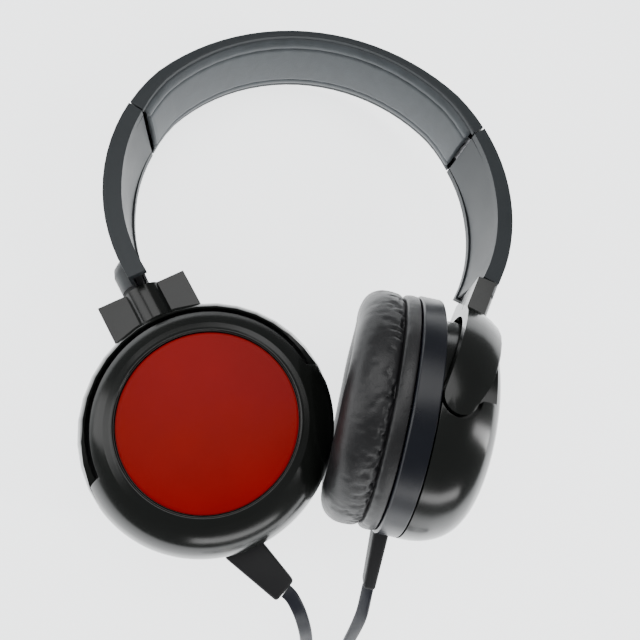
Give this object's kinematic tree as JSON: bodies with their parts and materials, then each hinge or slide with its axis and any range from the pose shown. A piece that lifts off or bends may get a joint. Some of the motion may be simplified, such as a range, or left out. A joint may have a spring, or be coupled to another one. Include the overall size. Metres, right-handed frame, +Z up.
{
  "type": "over ear headphones",
  "caption": "Over-ear headphones with a padded headband, sliding arms, swivelling and tilting ear cups, soft round ear pads and a flat Y cord that ends in a coil and plug.",
  "frame": {"origin": "on the table under the centre of the headphones, without the cord", "axes": "+Z up from the table, +Y toward the crown of the headband, +X toward the right ear cup as it lies; the left cup is folded flat and the right cup stands on its edge"},
  "size_m": [0.158, 0.3612, 0.0859],
  "materials": {
    "black_abs": "matt black moulded plastic",
    "cord_pvc": "soft dark navy cord jacket",
    "film": "thin formed film",
    "gloss_black_plastic": "polished black moulded plastic",
    "gold": "gold plate",
    "grey_leatherette": "slate grey leatherette",
    "leatherette": "soft black leatherette with fine creases",
    "magnet": "nickel plate",
    "navy_plastic": "semi-gloss dark navy moulded plastic",
    "red_metal": "dark red lacquer over a spun disc",
    "satin_grey_plastic": "satin slate grey moulded plastic",
    "speaker_cloth": "fine black woven cloth",
    "steel": "brushed spring steel"
  },
  "bodies": {
    "headband": {"cord_coil": "cord_pvc", "cord_splitter": "black_abs", "headband_liner": "grey_leatherette", "headband_shell": "satin_grey_plastic", "headband_spring_strip": "steel", "left_branch_cord": "cord_pvc", "main_cord_lead": "cord_pvc", "plug_body": "black_abs", "plug_cord_lead": "cord_pvc", "plug_pin": "gold", "right_branch_cord": "cord_pvc"},
    "left_slider": {"left_slider_rail": "steel"},
    "left_arm": {"left_arm_inner_cover": "satin_grey_plastic", "left_arm_shell": "satin_grey_plastic", "left_swivel_hub": "black_abs", "left_swivel_pin": "steel"},
    "left_yoke": {"left_pivot_pin_a": "steel", "left_pivot_pin_b": "steel", "left_yoke": "gloss_black_plastic"},
    "left_cup": {"left_baffle": "black_abs", "left_baffle_screw_1": "steel", "left_baffle_screw_2": "steel", "left_baffle_screw_3": "steel", "left_diaphragm": "film", "left_driver_frame": "black_abs", "left_driver_magnet": "magnet", "left_ear_pad": "leatherette", "left_outer_shell": "gloss_black_plastic", "left_pad_ring": "black_abs", "left_red_cap": "red_metal", "left_side_ring": "navy_plastic", "left_speaker_cloth": "speaker_cloth", "left_strain_relief": "black_abs"},
    "right_slider": {"right_slider_rail": "steel"},
    "right_arm": {"right_arm_inner_cover": "satin_grey_plastic", "right_arm_shell": "satin_grey_plastic", "right_swivel_hub": "black_abs", "right_swivel_pin": "steel"},
    "right_yoke": {"right_pivot_pin_a": "steel", "right_pivot_pin_b": "steel", "right_yoke": "gloss_black_plastic"},
    "right_cup": {"right_baffle": "black_abs", "right_baffle_screw_1": "steel", "right_baffle_screw_2": "steel", "right_baffle_screw_3": "steel", "right_diaphragm": "film", "right_driver_frame": "black_abs", "right_driver_magnet": "magnet", "right_ear_pad": "leatherette", "right_outer_shell": "gloss_black_plastic", "right_pad_ring": "black_abs", "right_red_cap": "red_metal", "right_side_ring": "navy_plastic", "right_speaker_cloth": "speaker_cloth", "right_strain_relief": "black_abs"}
  },
  "joints": [
    {"name": "left_slide", "type": "slide", "parent": "headband", "child": "left_slider", "axis": [-0.5797, -0.8113, 0.0764], "range_m": [0, 0.016], "deforming": ["left_branch_cord"]},
    {"name": "left_band_flex", "type": "hinge", "parent": "left_slider", "child": "left_arm", "pos_m": [-0.06353, 0.06309, 0.01552], "axis": [0.1108, -0.1714, -0.9789], "range_deg": [0, 17], "deforming": ["left_branch_cord"]},
    {"name": "left_swivel", "type": "hinge", "parent": "left_arm", "child": "left_yoke", "pos_m": [-0.03651, -0.04594, 0.03767], "axis": [-0.4433, 0.8731, -0.2031], "range_deg": [-90, 0], "deforming": ["left_branch_cord"]},
    {"name": "left_tilt", "type": "hinge", "parent": "left_yoke", "child": "left_cup", "pos_m": [-0.03651, -0.04594, 0.03767], "axis": [-0.8895, -0.4564, -0.0208], "range_deg": [0, 12], "deforming": ["left_branch_cord"]},
    {"name": "right_slide", "type": "slide", "parent": "headband", "child": "right_slider", "axis": [0.5479, -0.8113, 0.2041], "range_m": [0, 0.016], "deforming": ["right_branch_cord"]},
    {"name": "right_band_flex", "type": "hinge", "parent": "right_slider", "child": "right_arm", "pos_m": [0.06975, 0.06309, 0.03061], "axis": [-0.1108, 0.1714, 0.9789], "range_deg": [0, 22.5], "deforming": ["right_branch_cord"]},
    {"name": "right_swivel", "type": "hinge", "parent": "right_arm", "child": "right_yoke", "pos_m": [0.03846, -0.04594, 0.04615], "axis": [0.4774, 0.8731, -0.0988], "range_deg": [-81, 0], "deforming": ["right_branch_cord"]},
    {"name": "right_tilt", "type": "hinge", "parent": "right_yoke", "child": "right_cup", "pos_m": [0.03846, -0.04594, 0.04615], "axis": [-0.2458, 0.2407, 0.9389], "range_deg": [0, 4.5], "deforming": ["right_branch_cord"]}
  ],
  "couplings": [
    {"joint": "left_band_flex", "follows": "left_swivel", "ratio": -0.18},
    {"joint": "right_band_flex", "follows": "right_swivel", "ratio": -0.27}
  ]
}
